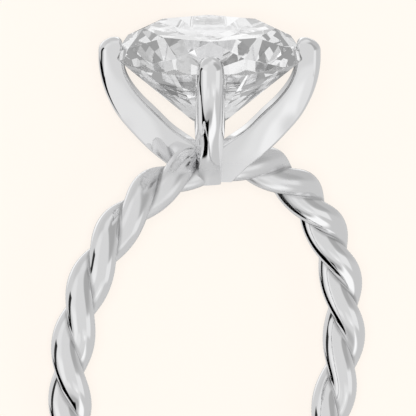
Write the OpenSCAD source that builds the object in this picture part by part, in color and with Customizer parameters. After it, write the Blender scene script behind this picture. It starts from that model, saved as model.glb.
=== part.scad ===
// Twisted shank ring: a two-strand rope shank with a round brilliant held by four prongs.
// Lengths are in millimetres and angles in degrees.
// The ring lies on its side, as it rests by itself: the stone's girdle and the far end of the shank
// touch the surface at Z = 0, the head points to -Y and the finger hole opens upward.
// Each piece is drawn as it is worn, with the finger along Y, the head up the Z axis and the middle
// of the finger hole at the origin, and is then laid down.

/* [View] */
// Piece to show

/* [Shank] */
// Inside diameter of the shank, size 6
inner_d = 16.5; // [14:0.1:22]
// Diameter of one strand of the rope
strand_d = 1.27; // [1:0.01:1.6]
// From the middle of the rope to the middle of a strand
strand_offset = 0.37; // [0.28:0.01:0.46]
// Whole turns of the rope on its way round the finger
rope_turns = 10; // [7:1:13]
// How far the rope is turned where it passes under the head
rope_start = 96; // [0:1:180]

/* [Stone] */
// Diameter of the stone at its girdle
stone_d = 8.7; // [7:0.1:11]
// Diameter of the table across its corners, as a share of the stone's diameter
table_share = 0.71; // [0.6:0.01:0.75]
// How far the stars reach from the table's edge to the girdle, as a share of that way
star_share = 0.86; // [0.7:0.01:0.88]
// How far the lower halves reach from the girdle to the culet, as a share of that way
lower_half_share = 0.77; // [0.6:0.01:0.85]
// Slope of the kites
crown_angle = 42; // [36:0.5:44]
// Slope of the mains under the girdle
pavilion_angle = 39.4; // [38:0.1:42.5]
// Height of the girdle where the kites meet it
girdle_t = 0.28; // [0.26:0.01:0.5]

/* [Head] */
// Free height between the rope and the culet
culet_gap = 0.42; // [0.2:0.01:1.2]
// How far the prongs stand out past the girdle
prong_stand = 0.85; // [0.7:0.05:1.1]
// Thickness of a prong from its outer edge to its inner side
prong_depth = 1.7; // [1.4:0.05:2]
// Width of a prong at its inner side
prong_w = 1.36; // [1.1:0.02:1.7]
// Width of a prong's outer edge
prong_edge_w = 0.8; // [0.6:0.02:1]
// How far the outer edge of a prong bows out
prong_bow = 0.13; // [0.06:0.01:0.2]
// How far the sides of a prong swell out
prong_swell = 0.03; // [0.01:0.01:0.08]
// Radius of a prong's inner corners
prong_corner_r = 0.16; // [0.08:0.01:0.25]
// Diameter of a prong's rounded tip
tip_d = 1.2; // [1.1:0.02:1.3]
// Rise of the tips above the top of the girdle
tip_rise = 0.7; // [0.6:0.02:1]
// How far the tips lean in over the crown
tip_lean = 0.13; // [0:0.01:0.25]
// How far the foot of the head stays back from the finger
foot_set = 0.16; // [0:0.02:0.4]
// Air between the stone and the notches of its prongs
seat_gap = 0.03; // [0.02:0.01:0.06]

/* [Hidden] */

metal_colour = [0.86, 0.86, 0.87];
stone_colour = [0.93, 0.95, 0.97, 0.8];

// Facets a side of the stone, and prongs round it
facets = 8;
prongs = 4;

// Steps of the meshes: round one side of a strand, along one turn of the rope, between two rows of
// the prong table, round a prong's outer edge, round its inner corners and round the girdle
strand_steps = 11;
turn_steps = 18;
row_steps = 2;
edge_steps = 8;
corner_steps = 2;
girdle_steps = 32;
tip_fn = 24;
finger_fn = 96;
// How far the pieces of a prong reach into each other
piece_lap = 0.05;
// Width of a filed corner, as a share of a prong's width
filed_share = 0.36;

// Rope
strand_r = strand_d / 2;
turns = round(rope_turns);
rope_r = inner_d / 2 + strand_offset + strand_r;
rope_d = 2 * (strand_offset + strand_r);
strand_slope = atan(turns * strand_offset / rope_r);
groove_angle = acos(-strand_offset / strand_r);
rope_rings = turns * turn_steps;

// Stone, with heights counted from the underside of its girdle
stone_r = stone_d / 2;
table_r = stone_r * table_share;
half_step = 180 / facets;
crown_h = (stone_r - table_r) * tan(crown_angle);
pavilion_h = stone_r * tan(pavilion_angle);
star_r = table_r * cos(half_step) * (1 - star_share) + stone_r * star_share;
lower_r = stone_r * (1 - lower_half_share);

// Heights in the worn frame
girdle_z = inner_d / 2 + rope_d + culet_gap + pavilion_h;
head_h = girdle_z + girdle_t - inner_d / 2;

// Prongs
tip_r = tip_d / 2;
prong_reach = stone_r + prong_stand;
tip_x = prong_reach - tip_lean - tip_r;
tip_z = girdle_z + girdle_t + tip_rise - tip_r;
// A row for each section, from the foot up. The reach and height are those of the outer edge, as
// shares of prong_reach and head_h. The other shares are of prong_depth, prong_w, prong_edge_w and
// prong_bow, and the slope is the angle at which the section runs in and up from the outer edge.
//   reach, height, depth, width, edge, bow, slope
prong_rows = [
    [0.060, -0.100, 1.000, 0.80, 1.31, 0.50, 52],
    [0.190, 0.000, 1.000, 0.84, 1.31, 0.60, 50],
    [0.346, 0.125, 0.970, 0.92, 1.28, 0.80, 46],
    [0.529, 0.247, 0.925, 1.00, 1.15, 1.00, 46],
    [0.692, 0.384, 0.912, 1.03, 1.00, 1.00, 44],
    [0.827, 0.518, 0.853, 1.03, 1.00, 1.00, 38],
    [0.919, 0.659, 0.765, 1.02, 1.00, 1.15, 30],
    [0.973, 0.789, 0.706, 1.02, 1.12, 1.50, 21],
    [0.998, 0.909, 0.690, 1.01, 1.30, 2.10, 10],
    [1.000, 0.995, 0.660, 0.92, 1.32, 2.20, 2]
];
REACH = 0;
HEIGHT = 1;
DEPTH = 2;
WIDTH = 3;
EDGE = 4;
BOW = 5;
SLOPE = 6;

// Lying down: the tilt of a line that touches the underside of the girdle and, past the finger
// hole, the lowest strand of the shank
rest_rise = stone_r - strand_offset;
rest_run = girdle_z + rope_r;
rest_tilt = atan2(rest_rise, rest_run) - asin(strand_r / norm([rest_rise, rest_run]));
rest_lift = rope_r * sin(rest_tilt) + strand_offset * cos(rest_tilt) + strand_r;
// The bounds are centred. The shank's outermost coils stand a quarter turn of the rope off its end.
head_end = (girdle_z + girdle_t + crown_h) * cos(rest_tilt) + table_r * sin(rest_tilt);
shank_end = (rope_r + strand_offset) * cos(90 / turns) * cos(rest_tilt) + strand_r;
rest_shift = (head_end - shank_end) / 2;

// Mesh helpers
// Side faces of a tube whose points come in rings of n, over the given spans between rings. As many
// spans as rings close the tube to a loop.
function tube_sides(n, rings, spans) = [
    for (i = [0:spans - 1], j = [0:n - 1])
        let (k = (i + 1) % rings, next = (j + 1) % n)
        let (a = i * n + j, b = i * n + next, up = k * n + j, up_b = k * n + next)
        each [[a, b, up], [b, up_b, up]]
];
function middle(points) = [for (p = points) 1] * points / len(points);
// A smooth curve through the rows of a table, at row i and share f of the way to the next
function row_at(rows, i) = rows[max(0, min(len(rows) - 1, i))];
function between(rows, i, f) =
    let (a = row_at(rows, i - 1), b = row_at(rows, i), c = row_at(rows, i + 1), d = row_at(rows, i + 2))
    b + (c - a) * f / 2 + (2 * a - 5 * b + 4 * c - d) * pow(f, 2) / 2
        + (3 * b - a - 3 * c + d) * pow(f, 3) / 2;

// Rope
// Outline of the two strands across the rope: each side runs from groove to groove
function strand_outline() = [
    for (side = [1, -1], j = [0:strand_steps - 1])
        let (turn = groove_angle * (2 * j / strand_steps - 1))
        side * [strand_offset + strand_r * cos(turn), strand_r * sin(turn) / cos(strand_slope)]
];
function rope_ring(outline, way, turn) = [
    for (p = outline)
        let (out = rope_r + p.x * cos(turn) - p.y * sin(turn))
        [out * sin(way), p.x * sin(turn) + p.y * cos(turn), out * cos(way)]
];
module rope() {
    outline = strand_outline();
    polyhedron(
        points = [
            for (i = [0:rope_rings - 1])
                let (way = 360 * i / rope_rings)
                each rope_ring(outline, way, rope_start + turns * way)
        ],
        faces = tube_sides(len(outline), rope_rings, rope_rings)
    );
}

// The strands are filed off in the two corners of the head's foot that face along the finger
module filed_rope() {
    difference() {
        rope();
        for (side = [1, -1])
            translate([0, side * prong_w, rope_r])
                cube([filed_share * prong_w, prong_w, rope_d], center = true);
    }
}

// Prong
function stations() = [
    for (i = [0:len(prong_rows) - 2], k = [0:row_steps - 1]) between(prong_rows, i, k / row_steps),
    prong_rows[len(prong_rows) - 1]
];
// Section across a prong: x runs in from the outer edge, which is an arc, and y across. Each side
// swells at its middle.
function prong_outline(depth, width, edge, bow) = [
    for (k = [0:edge_steps])
        let (sweep = 2 * atan(2 * bow / edge), turn = sweep * (2 * k / edge_steps - 1))
        edge / 2 / sin(sweep) * [1 - cos(turn), sin(turn)],
    [(bow + depth - prong_corner_r) / 2, (edge + width) / 4 + prong_swell],
    for (side = [1, -1], k = [0:corner_steps])
        let (turn = 90 * (side > 0 ? corner_steps - k : k) / corner_steps)
        [depth - prong_corner_r * (1 - cos(turn)), side * (width / 2 - prong_corner_r * (1 - sin(turn)))],
    [(bow + depth - prong_corner_r) / 2, -(edge + width) / 4 - prong_swell]
];
function prong_section(row) =
    let (
        outline = prong_outline(
            row[DEPTH] * prong_depth, row[WIDTH] * prong_w, row[EDGE] * prong_edge_w, row[BOW] * prong_bow
        )
    )
    [
        for (p = outline)
            [
                row[REACH] * prong_reach - p.x * cos(row[SLOPE]),
                p.y,
                inner_d / 2 + row[HEIGHT] * head_h + p.x * sin(row[SLOPE])
            ]
    ];
// The upper end bulges into the next piece, so that two pieces share more than a face
module prong_piece(low, high) {
    n = len(low);
    heart = middle(high);
    way = heart - middle(low);
    hull()
        polyhedron(
            points = concat(low, high, [heart + piece_lap * way / norm(way)]),
            faces = concat(
                [[for (j = [0:n - 1]) n - 1 - j]],
                tube_sides(n, 2, 1),
                [for (j = [0:n - 1]) [n + j, n + (j + 1) % n, 2 * n]]
            )
        );
}
module prong() {
    sections = [for (row = stations()) prong_section(row)];
    last = len(sections) - 1;
    for (i = [0:last - 1])
        prong_piece(sections[i], sections[i + 1]);
    // The rounded tip
    hull() {
        prong_piece(sections[last - 1], sections[last]);
        translate([tip_x, 0, tip_z])
            sphere(r = tip_r, $fn = tip_fn);
    }
}

// Stone
// Points of the stone with every facet moved out by gap, which also gives the shape of its seat
function stone_points(gap) =
    let (
        r = stone_r + gap,
        low = -gap / cos(pavilion_angle) + gap * tan(pavilion_angle),
        high = girdle_t + gap / cos(crown_angle) - gap * tan(crown_angle),
        top = girdle_t + crown_h + gap,
        flat = r - (top - high) / tan(crown_angle),
        star_z = high + (r - star_r * cos(half_step)) * tan(crown_angle),
        lower_z = low - (r - lower_r * cos(half_step)) * tan(pavilion_angle),
        star = [star_r, 0, star_z],
        lower = [lower_r, 0, lower_z]
    )
    [
        for (k = [0:facets - 1])
            let (turn = 360 * k / facets)
            each [
                [flat * cos(turn), flat * sin(turn), top],
                [star_r * cos(turn + half_step), star_r * sin(turn + half_step), star_z],
                [lower_r * cos(turn + half_step), lower_r * sin(turn + half_step), lower_z]
            ],
        for (k = [0:girdle_steps - 1])
            let (turn = 360 * k / girdle_steps, off = abs(turn % (2 * half_step) - half_step))
            each [
                [r * cos(turn), r * sin(turn), half_facet_z(r, off, high, star)],
                [r * cos(turn), r * sin(turn), half_facet_z(r, off, low, lower)]
            ],
        [0, 0, low - r * tan(pavilion_angle)]
    ];
// Height at which a half facet leaves the girdle, off degrees round from its inner tip.
// The facet's plane holds the tip and the two girdle points at 0 and half_step, at height z.
function half_facet_z(r, off, z, tip) =
    let (
        a = [r, 0, z],
        b = [r * cos(half_step), r * sin(half_step), z],
        n = cross(b - a, tip - a)
    )
    z - ([r * cos(off), r * sin(off), 0] - [a.x, a.y, 0]) * [n.x, n.y, 0] / n.z;
module stone_body(gap) {
    points = stone_points(gap);
    translate([0, 0, girdle_z])
        hull()
            polyhedron(points = points, faces = [[for (i = [0:len(points) - 1]) i]]);
}

// Head: the prongs, trimmed to the finger and notched for the stone
module head() {
    difference() {
        for (k = [0:prongs - 1])
            rotate([0, 0, 360 * (k + 0.5) / prongs])
                prong();
        rotate([90, 0, 0])
            cylinder(d = inner_d + 2 * foot_set, h = 2 * prong_reach, center = true, $fn = finger_fn);
        stone_body(seat_gap);
    }
}

module lay_down() {
    translate([0, rest_shift, rest_lift])
        rotate([-rest_tilt, 0, 0])
            rotate([0, 180, 0])
                rotate([90, 0, 0])
                    children();
}

module mount() {
    color(metal_colour)
        lay_down()
            union() {
                filed_rope();
                head();
            }
}

module stone() {
    color(stone_colour)
        lay_down()
            stone_body(0);
}

mount();
stone();
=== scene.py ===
from math import acos, atan, cos, degrees, pi, radians, sin, tan

import bmesh
import bpy
from mathutils import Matrix, Vector


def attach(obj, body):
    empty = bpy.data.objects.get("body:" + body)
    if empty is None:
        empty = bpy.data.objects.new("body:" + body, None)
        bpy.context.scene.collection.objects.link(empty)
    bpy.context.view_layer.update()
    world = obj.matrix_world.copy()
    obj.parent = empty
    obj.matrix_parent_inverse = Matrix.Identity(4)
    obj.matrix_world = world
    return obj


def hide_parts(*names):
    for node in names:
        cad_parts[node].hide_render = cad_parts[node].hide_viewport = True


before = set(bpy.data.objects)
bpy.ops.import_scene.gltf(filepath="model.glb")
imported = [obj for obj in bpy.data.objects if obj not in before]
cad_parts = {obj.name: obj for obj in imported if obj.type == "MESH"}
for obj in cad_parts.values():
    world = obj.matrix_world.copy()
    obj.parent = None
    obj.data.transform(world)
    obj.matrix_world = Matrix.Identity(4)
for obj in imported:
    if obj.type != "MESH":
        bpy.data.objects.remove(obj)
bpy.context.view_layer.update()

# Shank: two round wires of white metal, twisted left-handed into a rope, bent round the finger and
# soldered to a loop. Each piece is drawn as the ring is worn, with the finger along Y and the head up
# the Z axis, and is then laid down on the ring's side with the stone's girdle on the floor.
MM = 0.001
inner_r = 8.25 * MM
strand_r = 0.635 * MM
strand_offset = 0.37 * MM
rope_turns = 10
rope_start = radians(96)
strand_sides = 24
rope_rings = 540
groove_fillet = 0.055 * MM
groove_steps = 6
groove_fold = radians(25)
rope_r = inner_r + strand_offset + strand_r
strand_slope = atan(rope_turns * strand_offset / rope_r)
groove_angle = acos(-strand_offset / strand_r)

merge_gap = 0.0005 * MM
rest_tilt = radians(8.0831)
rest_lift = 2.30266 * MM
rest_shift = 2.95027 * MM
lay_down = (
    Matrix.Translation((0, rest_shift, rest_lift))
    @ Matrix.Rotation(-rest_tilt, 4, "X")
    @ Matrix.Rotation(pi, 4, "Y")
    @ Matrix.Rotation(pi / 2, 4, "X")
)
laid = lay_down.to_3x3()
head_axis = laid @ Vector((0, 0, 1))
shank_side = laid @ Vector((1, 0, 0))
finger_axis = laid @ Vector((0, 1, 0))


def rolled_sheet(around, along, spot):
    """A flat grid of faces rolled to a tube, where spot gives the place of each of its crossings."""
    body = bmesh.new()
    bmesh.ops.create_grid(body, x_segments=around, y_segments=along, size=0.5)
    for vert in body.verts:
        step, ring = round((vert.co.x + 0.5) * around), round((vert.co.y + 0.5) * along)
        vert.co = spot(step % around, ring)
    bmesh.ops.remove_doubles(body, verts=body.verts, dist=merge_gap)
    return body


def laid_piece(name, body):
    """The drawn body as a smooth object, laid down where the ring rests."""
    bmesh.ops.recalc_face_normals(body, faces=body.faces)
    bmesh.ops.transform(body, matrix=lay_down, verts=body.verts)
    for face in body.faces:
        face.smooth = True
    mesh = bpy.data.meshes.new(name)
    body.to_mesh(mesh)
    body.free()
    piece = bpy.data.objects.new(name, mesh)
    bpy.context.scene.collection.objects.link(piece)
    return piece


def rope_spot(step, ring):
    strand, share = divmod(step, strand_sides)
    turn = groove_angle * (2 * share / strand_sides - 1)
    side = 1 if strand == 0 else -1
    x = side * (strand_offset + strand_r * cos(turn))
    y = side * strand_r * sin(turn) / cos(strand_slope)
    way = 2 * pi * ring / rope_rings
    twist = rope_start + rope_turns * way
    out = rope_r + x * cos(twist) - y * sin(twist)
    return Vector((out * sin(way), x * sin(twist) + y * cos(twist), out * cos(way)))


rope = rolled_sheet(2 * strand_sides, rope_rings, rope_spot)
bmesh.ops.recalc_face_normals(rope, faces=rope.faces)
grooves = [edge for edge in rope.edges if edge.calc_face_angle_signed() < -groove_fold]
bmesh.ops.bevel(
    rope, geom=grooves, offset=groove_fillet, segments=groove_steps, profile=0.5, affect="EDGES", material=-1
)
ring_metal = laid_piece("ring_metal", rope)

# Head: four tapered prongs of the same metal, soldered into one cross on the shank. Each has a bowed
# outer face, leans out under the stone, turns upright at its girdle and ends in a round tip that is
# pressed over the crown. A notch is cut in each for the stone's edge.
stone_r = 4.35 * MM
girdle_t = 0.28 * MM
girdle_steps = 64
crown_angle = radians(42)
pavilion_angle = radians(39.4)
culet_gap = 0.42 * MM
girdle_z = inner_r + 2 * (strand_offset + strand_r) + culet_gap + stone_r * tan(pavilion_angle)
table_r = 0.71 * stone_r
star_share = 0.86
lower_half_share = 0.77
facets = 8
seat_gap = 0.03 * MM
cut_merge = 0.0003 * MM
corner_merge = 0.001 * MM

prongs = 4
prong_reach = stone_r + 0.85 * MM
prong_depth = 1.7 * MM
prong_w = 1.36 * MM
prong_edge_w = 0.8 * MM
prong_bow = 0.13 * MM
prong_swell = 0.03 * MM
corner_r = 0.16 * MM
inner_face_share = 0.9
tip_r = 0.6 * MM
tip_x = prong_reach - 0.13 * MM - tip_r
tip_top = girdle_z + girdle_t + 0.7 * MM
foot_r = inner_r + 0.16 * MM
head_h = girdle_z + girdle_t - inner_r
filed_share = 0.36
edge_steps = 20
corner_steps = 8
side_steps = 8
row_steps = 5
tip_rings = 10
finger_steps = 256
sharp_edge = radians(20)
# reach, height, depth, width, edge, bow, slope
prong_rows = [
    (0.060, -0.100, 1.000, 0.80, 1.31, 0.50, 52),
    (0.190, 0.000, 1.000, 0.84, 1.31, 0.60, 50),
    (0.346, 0.125, 0.970, 0.92, 1.28, 0.80, 46),
    (0.529, 0.247, 0.925, 1.00, 1.15, 1.00, 46),
    (0.692, 0.384, 0.912, 1.03, 1.00, 1.00, 44),
    (0.827, 0.518, 0.853, 1.03, 1.00, 1.00, 38),
    (0.919, 0.659, 0.765, 1.02, 1.00, 1.15, 30),
    (0.973, 0.789, 0.706, 1.02, 1.12, 1.50, 21),
    (0.998, 0.909, 0.690, 1.01, 1.30, 2.10, 10),
    (1.000, 1.016, 0.660, 0.92, 1.32, 2.20, 2),
]


def between(rows, index, share):
    """The rows as a smooth curve, at a row and a share of the way to the next."""
    a, b, c, d = (rows[max(0, min(len(rows) - 1, index + k))] for k in (-1, 0, 1, 2))
    return [
        q + (r - p) * share / 2 + (2 * p - 5 * q + 4 * r - s) * share**2 / 2
        + (3 * q - p - 3 * r + s) * share**3 / 2
        for p, q, r, s in zip(a, b, c, d)
    ]


def prong_outline(depth, width, edge, bow):
    """The section's corners: the bowed outer edge, a side, the inner face and the other side."""
    sweep = 2 * atan(2 * bow / edge)
    round_r = edge / 2 / sin(sweep)
    spots = []
    for k in range(edge_steps + 1):
        turn = sweep * (2 * k / edge_steps - 1)
        spots.append((round_r * (1 - cos(turn)), round_r * sin(turn)))
    for side in (1, -1):
        ends = [(bow, side * edge / 2), (depth - corner_r, side * width / 2)]
        flat = []
        for k in range(1, side_steps):
            share = k / side_steps
            x, y = (a + (b - a) * share for a, b in zip(*ends))
            flat.append((x, y + side * prong_swell * 4 * share * (1 - share)))
        corner = [
            (depth - corner_r * (1 - cos(turn)), side * (width / 2 - corner_r * (1 - sin(turn))))
            for turn in (pi / 2 * (1 - k / corner_steps) for k in range(corner_steps + 1))
        ]
        face = [(depth, side * (width / 2 - corner_r) * inner_face_share)]
        spots += (flat + corner + face) if side > 0 else (flat + corner + face)[::-1]
    return spots


prong_stations = [
    between(prong_rows, row, k / row_steps) for row in range(len(prong_rows) - 1) for k in range(row_steps)
] + [prong_rows[-1]]


def prong_ring(station):
    reach, height, depth, width, edge, bow, slope = station
    slope = radians(slope)
    return [
        (reach * prong_reach - x * cos(slope), y, inner_r + height * head_h + x * sin(slope))
        for x, y in prong_outline(depth * prong_depth, width * prong_w, edge * prong_edge_w, bow * prong_bow)
    ]


prong_rings = [prong_ring(station) for station in prong_stations]
last_ring = prong_rings[-1]
last_middle = (max(x for x, y, z in last_ring) + min(x for x, y, z in last_ring)) / 2
for k in range(1, tip_rings + 1):
    rise = pi / 2 * k / tip_rings
    middle = last_middle + (tip_x - last_middle) * sin(rise) ** 2
    prong_rings.append(
        [
            (middle + (x - last_middle) * cos(rise), y * cos(rise), z + (tip_top - z) * sin(rise))
            for x, y, z in last_ring
        ]
    )


def drawn_prong(turn):
    body = rolled_sheet(
        len(last_ring), len(prong_rings) - 1, lambda step, ring: Vector(prong_rings[ring][step])
    )
    bmesh.ops.holes_fill(body, edges=[edge for edge in body.edges if edge.is_boundary])
    bmesh.ops.rotate(body, verts=body.verts, matrix=Matrix.Rotation(turn, 3, "Z"))
    return body


def ground_stone(gap):
    """A round brilliant, ground from a short cylinder by one flat cut for each facet. A gap moves every
    cut out, which gives the seat in the prongs."""
    r = stone_r + gap
    low = girdle_z - gap / cos(pavilion_angle) + gap * tan(pavilion_angle)
    high = girdle_z + girdle_t + gap / cos(crown_angle) - gap * tan(crown_angle)
    top = girdle_z + girdle_t + (stone_r - table_r) * tan(crown_angle) + gap
    culet = low - r * tan(pavilion_angle)
    half = pi / facets
    flat_r = r - (top - high) / tan(crown_angle)
    star_r = table_r * cos(half) * (1 - star_share) + stone_r * star_share
    star_z = high + (r - star_r * cos(half)) * tan(crown_angle)
    lower_r = stone_r * (1 - lower_half_share)
    lower_z = low - (r - lower_r * cos(half)) * tan(pavilion_angle)

    def at(radius, way, z):
        return Vector((radius * cos(way), radius * sin(way), z))

    body = bmesh.new()
    bmesh.ops.create_cone(
        body, cap_ends=True, segments=girdle_steps, radius1=r, radius2=r, depth=2 * (top - culet),
        matrix=Matrix.Translation((0, 0, (top + culet) / 2)),
    )
    cuts = [(Vector((0, 0, top)), Vector((0, 0, 1)))]
    for k in range(facets):
        way = 2 * k * half
        edge = Vector((cos(way), sin(way), 0))
        cuts.append((at(r, way, high), edge * sin(crown_angle) + Vector((0, 0, cos(crown_angle)))))
        cuts.append((at(r, way, low), edge * sin(pavilion_angle) - Vector((0, 0, cos(pavilion_angle)))))
        corners = at(flat_r, way, top), at(flat_r, way + 2 * half, top), at(star_r, way + half, star_z)
        cuts.append((corners[0], (corners[2] - corners[0]).cross(corners[1] - corners[0]).normalized()))
        for side in (0, 2 * half):
            for tip, z in ((at(star_r, way + half, star_z), high), (at(lower_r, way + half, lower_z), low)):
                a, b = at(r, way + side, z), at(r, way + half, z)
                cuts.append((a, (b - a).cross(tip - a).normalized()))
    middle = Vector((0, 0, girdle_z))
    for spot, normal in cuts:
        if normal.dot(spot - middle) < 0:
            normal = -normal
        geom = body.verts[:] + body.edges[:] + body.faces[:]
        bmesh.ops.bisect_plane(
            body, geom=geom, dist=cut_merge, plane_co=spot, plane_no=normal, clear_outer=True
        )
        bmesh.ops.holes_fill(body, edges=[edge for edge in body.edges if edge.is_boundary])
    bmesh.ops.remove_doubles(body, verts=body.verts, dist=corner_merge)
    return body


def carve(piece, tool, operation):
    """Joins the tool to the piece or cuts it out, and takes the tool away."""
    step = piece.modifiers.new("carve", "BOOLEAN")
    step.operation = operation
    step.solver = "MANIFOLD"
    step.object = tool
    shaped = piece.evaluated_get(bpy.context.evaluated_depsgraph_get())
    mesh = bpy.data.meshes.new_from_object(shaped)
    piece.modifiers.clear()
    piece.data = mesh
    bpy.data.objects.remove(tool)


head = laid_piece("head", drawn_prong(pi / prongs))
for k in range(1, prongs):
    carve(head, laid_piece("prong", drawn_prong(pi / prongs + 2 * pi * k / prongs)), "UNION")
finger = bmesh.new()
bmesh.ops.create_cone(
    finger, cap_ends=True, segments=finger_steps, radius1=foot_r, radius2=foot_r, depth=2 * prong_reach,
    matrix=Matrix.Rotation(pi / 2, 4, "X"),
)
carve(head, laid_piece("finger", finger), "DIFFERENCE")
carve(head, laid_piece("seat", ground_stone(seat_gap)), "DIFFERENCE")
# The strands are filed off in the two corners of the head's foot that face along the finger
file_cuts = bmesh.new()
for side in (1, -1):
    bmesh.ops.create_cube(
        file_cuts, size=1.0,
        matrix=Matrix.Translation((0, side * prong_w, rope_r))
        @ Matrix.Diagonal((filed_share * prong_w, prong_w, 2 * (strand_offset + strand_r), 1)),
    )
carve(ring_metal, laid_piece("file_cuts", file_cuts), "DIFFERENCE")
carve(ring_metal, head, "UNION")
ring_metal.data.set_sharp_from_angle(angle=sharp_edge)
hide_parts("mount")
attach(ring_metal, "root")


class Wire:
    """A shader socket. Sums and products of wires add their Math nodes, and node() adds any other."""

    def __init__(self, tree, socket=None):
        self.tree, self.socket = tree, socket

    def node(self, kind, settings, sockets, output=0):
        made = self.tree.nodes.new("ShaderNode" + kind)
        for name, value in settings.items():
            setattr(made, name, value)
        for name, value in sockets.items():
            if isinstance(value, Wire):
                self.tree.links.new(value.socket, made.inputs[name])
            else:
                made.inputs[name].default_value = value
        return Wire(self.tree, made.outputs[output])

    def maths(self, operation, *values):
        return self.node("Math", {"operation": operation}, dict(enumerate(values)))

    def __add__(self, other):
        return self.maths("ADD", self, other)

    __radd__ = __add__

    def __sub__(self, other):
        return self.maths("SUBTRACT", self, other)

    def __rsub__(self, other):
        return self.maths("SUBTRACT", other, self)

    def __mul__(self, other):
        return self.maths("MULTIPLY", self, other)

    __rmul__ = __mul__


def new_finish(name):
    """An empty material, with its shader and a wire to draw from."""
    finish = bpy.data.materials.new(name)
    finish.use_nodes = True
    return finish, finish.node_tree.nodes["Principled BSDF"], Wire(finish.node_tree)


white_metal = (0.86, 0.86, 0.865, 1)
# Painted shade: the dark grey mixed into the metal's colour at the bottom of the grooves between the strands
painted_shade_grey = (0.08, 0.08, 0.085, 1)
groove_shade = 0.8
groove_reach = 0.57 * MM, 0.68 * MM
foot_reach = 9.2 * MM, 10.2 * MM
beside_reach = 4 * MM, 7.5 * MM
shoulder_reach = 4 * MM, 7 * MM
polish_roughness, haze_roughness, foot_roughness, groove_roughness = 0.015, 0.04, 0.25, 0.15
polished, shader, wire = new_finish("polished_white_metal")
shader.inputs["Metallic"].default_value = 1.0
spots = wire.node("TexCoord", {}, {}, "Object")
haze = wire.node("TexNoise", {}, {"Vector": spots, "Scale": 900.0, "Detail": 3.0}, "Fac")
marks = wire.node(
    "TexNoise", {}, {"Vector": spots, "Scale": 3500.0, "Detail": 4.0, "Roughness": 0.6}, "Fac"
)
# A polishing wheel can't reach the corners between the head's foot and the shank, nor the bottom of the
# grooves between the strands, so they stay duller. The bottom of the grooves is also painted darker, as
# painted shade.
height, beside, aside = (
    wire.node("VectorMath", {"operation": "DOT_PRODUCT"}, {0: spots, 1: axis}, "Value")
    - lay_down.translation.dot(axis)
    for axis in (head_axis, shank_side, finger_axis)
)


def slide(value, low, high):
    """1 below low and 0 above high, with a soft passage."""
    return wire.node(
        "MapRange", {"interpolation_type": "SMOOTHSTEP"},
        {"Value": value, "From Min": low, "From Max": high, "To Min": 1.0, "To Max": 0.0},
    )


out = wire.maths("SQRT", height * height + beside * beside) - rope_r
groove = slide(wire.maths("SQRT", out * out + aside * aside), *groove_reach)
foot = slide(height, *foot_reach) * slide(wire.maths("ABSOLUTE", beside), *beside_reach)
foot = foot * (1 - slide(height, *shoulder_reach))
dullness = (
    polish_roughness + haze_roughness * haze + foot_roughness * foot + groove_roughness * groove
)
wire.tree.links.new(dullness.socket, shader.inputs["Roughness"])
# Base colour: the white metal, with painted shade (dark grey) mixed in at the bottom of the grooves
metal_colour = wire.node(
    "Mix", {"data_type": "RGBA"}, {0: groove_shade * groove * haze, 6: white_metal, 7: painted_shade_grey}, 2
)
wire.tree.links.new(metal_colour.socket, shader.inputs["Base Color"])
relief = wire.node("Bump", {}, {"Height": marks, "Strength": 0.2, "Distance": 0.002 * MM}, "Normal")
wire.tree.links.new(relief.socket, shader.inputs["Normal"])
ring_metal.data.materials.clear()
ring_metal.data.materials.append(polished)

# Stone: a clear round brilliant, cut with a table, stars, kites, halves and mains. It drops into the
# notches of the prongs, which hold it by its girdle.
stone_ior = 2.1
stone_tint = (0.93, 0.93, 0.935, 1)
# Painted light: the stone glows faintly white, which brightens it
stone_painted_glow = 0.042
girdle_tint = (0.97, 0.97, 0.97, 1)
lap_roughness, grind_roughness = 0.006, 0.2
girdle_lean = 0.05
cut_stone = laid_piece("cut_stone", ground_stone(0))
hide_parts("stone")
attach(cut_stone, "root")
clear, shader, wire = new_finish("clear_cut_stone")
shader.inputs["Base Color"].default_value = stone_tint
shader.inputs["Transmission Weight"].default_value = 1.0
shader.inputs["IOR"].default_value = stone_ior
# Painted light: a faint white glow of the stone's own, though it is no lamp
shader.inputs["Emission Color"].default_value = (1, 1, 1, 1)
shader.inputs["Emission Strength"].default_value = stone_painted_glow
spots = wire.node("TexCoord", {}, {}, "Object")
lap_marks = wire.node("TexNoise", {}, {"Vector": spots, "Scale": 2500.0, "Detail": 2.0}, "Fac")
wire.tree.links.new((lap_roughness * lap_marks).socket, shader.inputs["Roughness"])
ground, shader, wire = new_finish("ground_girdle")
shader.inputs["Base Color"].default_value = girdle_tint
shader.inputs["Transmission Weight"].default_value = 1.0
shader.inputs["IOR"].default_value = stone_ior
spots = wire.node("TexCoord", {}, {}, "Object")
grain = wire.node("TexNoise", {}, {"Vector": spots, "Scale": 6000.0, "Detail": 2.0}, "Fac")
wire.tree.links.new((grind_roughness + grind_roughness * grain).socket, shader.inputs["Roughness"])
cut_stone.data.materials.append(clear)
cut_stone.data.materials.append(ground)
for face in cut_stone.data.polygons:
    face.use_smooth = False
    face.material_index = 1 if abs(face.normal.dot(head_axis)) < girdle_lean else 0

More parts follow.
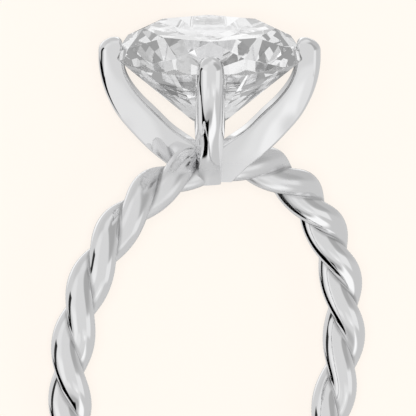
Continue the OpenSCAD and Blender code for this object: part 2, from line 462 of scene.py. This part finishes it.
# Floor: a plain pale table, which isn't part of the ring. Most of its brightness is its own glow, so
# that it stays even. It is hidden from reflections, so the polished metal mirrors the studio alone.
floor_half = 3
floor_colour = (0.15, 0.139, 0.128, 1)
floor_glow_colour = (1, 0.935, 0.868, 1)
floor_glow = 0.83
floor_shape = bmesh.new()
bmesh.ops.create_grid(floor_shape, x_segments=1, y_segments=1, size=floor_half)
floor_mesh = bpy.data.meshes.new("floor")
floor_shape.to_mesh(floor_mesh)
floor_shape.free()
floor = bpy.data.objects.new("floor", floor_mesh)
bpy.context.scene.collection.objects.link(floor)
floor.visible_glossy = False
floor.visible_transmission = False
pale, shader, wire = new_finish("pale_table")
shader.inputs["Base Color"].default_value = floor_colour
shader.inputs["Roughness"].default_value = 1.0
shader.inputs["Specular IOR Level"].default_value = 0.0
shader.inputs["Emission Color"].default_value = floor_glow_colour
shader.inputs["Emission Strength"].default_value = floor_glow
floor.data.materials.append(pale)

# Camera: a long lens at the photo's angle to the ring. The picture's scale and the place of the
# finger hole's middle in it are those of the photo.
look_az = radians(45.75)
look_el = radians(12.44)
look_roll = radians(0.28)
picture = 416
pixels_per_mm = 21.25
hole_middle = (208.1, 354.2)
distance = 0.7
back = Vector((-sin(look_az) * cos(look_el), -cos(look_az) * cos(look_el), sin(look_el)))
level = Vector((cos(look_az), -sin(look_az), 0))
rise = back.cross(level)
right = level * cos(look_roll) + rise * sin(look_roll)
rise = rise * cos(look_roll) - level * sin(look_roll)
right, rise, back = laid @ right, laid @ rise, laid @ back
aim = lay_down.translation + (
    right * (picture / 2 - hole_middle[0]) + rise * (hole_middle[1] - picture / 2)
) * MM / pixels_per_mm
lens = bpy.data.cameras.new("camera")
lens.sensor_width = 36
lens.lens = pixels_per_mm / MM * distance * lens.sensor_width / picture
lens.clip_start, lens.clip_end = 0.01, 10
camera = bpy.data.objects.new("camera", lens)
bpy.context.scene.collection.objects.link(camera)
looking = Matrix((right, rise, back)).transposed().to_4x4()
camera.matrix_world = Matrix.Translation(aim + back * distance) @ looking
bpy.context.scene.camera = camera

# Studio: pale walls all round with soft bright and grey panels and two dark screens, one to the left
# and one under the ring, all for the polished metal to mirror, and a wide lamp behind the camera.
studio = bpy.data.worlds.new("studio")
bpy.context.scene.world = studio
studio.use_nodes = True
wire = Wire(studio.node_tree)
way = wire.node("TexCoord", {}, {}, "Generated")
toward = laid @ Vector((-sin(look_az), -cos(look_az), 0))
across = laid @ Vector((cos(look_az), -sin(look_az), 0))
part = [
    wire.node("VectorMath", {"operation": "DOT_PRODUCT"}, {0: way, 1: axis}, "Value")
    for axis in (toward, across, head_axis)
]
longitude = wire.maths("ARCTAN2", part[1], part[0]) * degrees(1)
latitude = wire.maths("ARCSINE", part[2]) * degrees(1)
# Under the ring, two panels are set by how far they lean to a side of straight down and how far they
# reach to the camera. Their upper and lower edges slant, and so do the sides of the screen to the left.
slant = 0.5
lean = wire.maths("ARCTAN2", part[1], 0 - part[2]) * degrees(1)
reach_slant = wire.maths("ARCSINE", part[0]) * degrees(1) - slant * lean
longitude_slant = longitude - slant * latitude


def window(angle, centre, half, soft):
    """1 inside the centre's half width and 0 outside, with a soft edge."""
    return wire.node(
        "MapRange", {"interpolation_type": "SMOOTHSTEP"},
        {
            "Value": wire.maths("ABSOLUTE", angle - centre),
            "From Min": half - soft, "From Max": half + soft, "To Min": 1.0, "To Max": 0.0,
        },
    )


# scales, centre, half width and half height on them, soft edge, brightness
panels = [
    (longitude, latitude, -126, -3, 42, 45, 10, 0.72),
    (longitude, latitude, 114, 40, 56, 36, 8, 0.57),
    (longitude, latitude, 80, 42, 24, 30, 8, 0.455),
    (longitude, latitude, -12, 22, 64, 69, 8, 0.77),
    (longitude, latitude, -60, 32, 24, 34, 12, 0.86),
    (longitude, latitude, -52, -12, 18, 22, 9, 0.96),
    (longitude, latitude, 64, -9, 19, 15, 4, 0.9),
    (longitude, latitude, 28, -24, 20, 8, 5, 0.87),
    (longitude, latitude, 28, -28.5, 7, 3.5, 3, 1.0),
    (longitude, latitude, -30, -30, 18, 6, 4, 0.88),
    (longitude, latitude, 0, 90, 400, 15, 8, 0.82),
    (longitude, latitude, 150, 68, 22, 14, 6, 0.86),
    (longitude, latitude, -160, 10, 25, 9, 3, 1.0),
    (longitude, latitude, -172, 12, 24, 7, 3, 1.15),
    (longitude, latitude, 188, 12, 24, 7, 3, 1.15),
    (longitude, latitude, -20, -58, 42, 8, 5, 0.48),
    (longitude, latitude, 180, -18, 10, 16, 6, 0.15),
    (longitude, latitude, -180, -18, 10, 16, 6, 0.15),
    (longitude_slant, latitude, -95, 3, 11, 19, 2, 0.03),
    (lean, reach_slant, 16, 4.5, 24, 15.5, 6, 1.1),
    (lean, reach_slant, -42.5, 14, 32.5, 20, 1.5, 0.0),
]
wall_glow = 0.655
glow = wall_glow
for across_scale, up_scale, x, y, half_w, half_h, soft, bright in panels:
    mask = window(across_scale, x, half_w, soft) * window(up_scale, y, half_h, soft)
    glow = glow * (1 - mask) + bright * mask
backdrop = studio.node_tree.nodes["Background"]
wire.tree.links.new(glow.socket, backdrop.inputs["Strength"])
backdrop.inputs["Color"].default_value = (1.0, 1.0, 1.0, 1)

lamp_distance = 1.1
lamp = bpy.data.lights.new("lamp", "AREA")
lamp.shape = "DISK"
lamp.size = 0.25
lamp.energy = 11.0
lamp_stand = bpy.data.objects.new("lamp", lamp)
bpy.context.scene.collection.objects.link(lamp_stand)
lamp_stand.location = aim + back * lamp_distance
lamp_stand.rotation_euler = back.to_track_quat("Z", "Y").to_euler()
lamp_stand.visible_glossy = False
lamp_stand.visible_transmission = False
bpy.context.scene.view_settings.view_transform = "Standard"
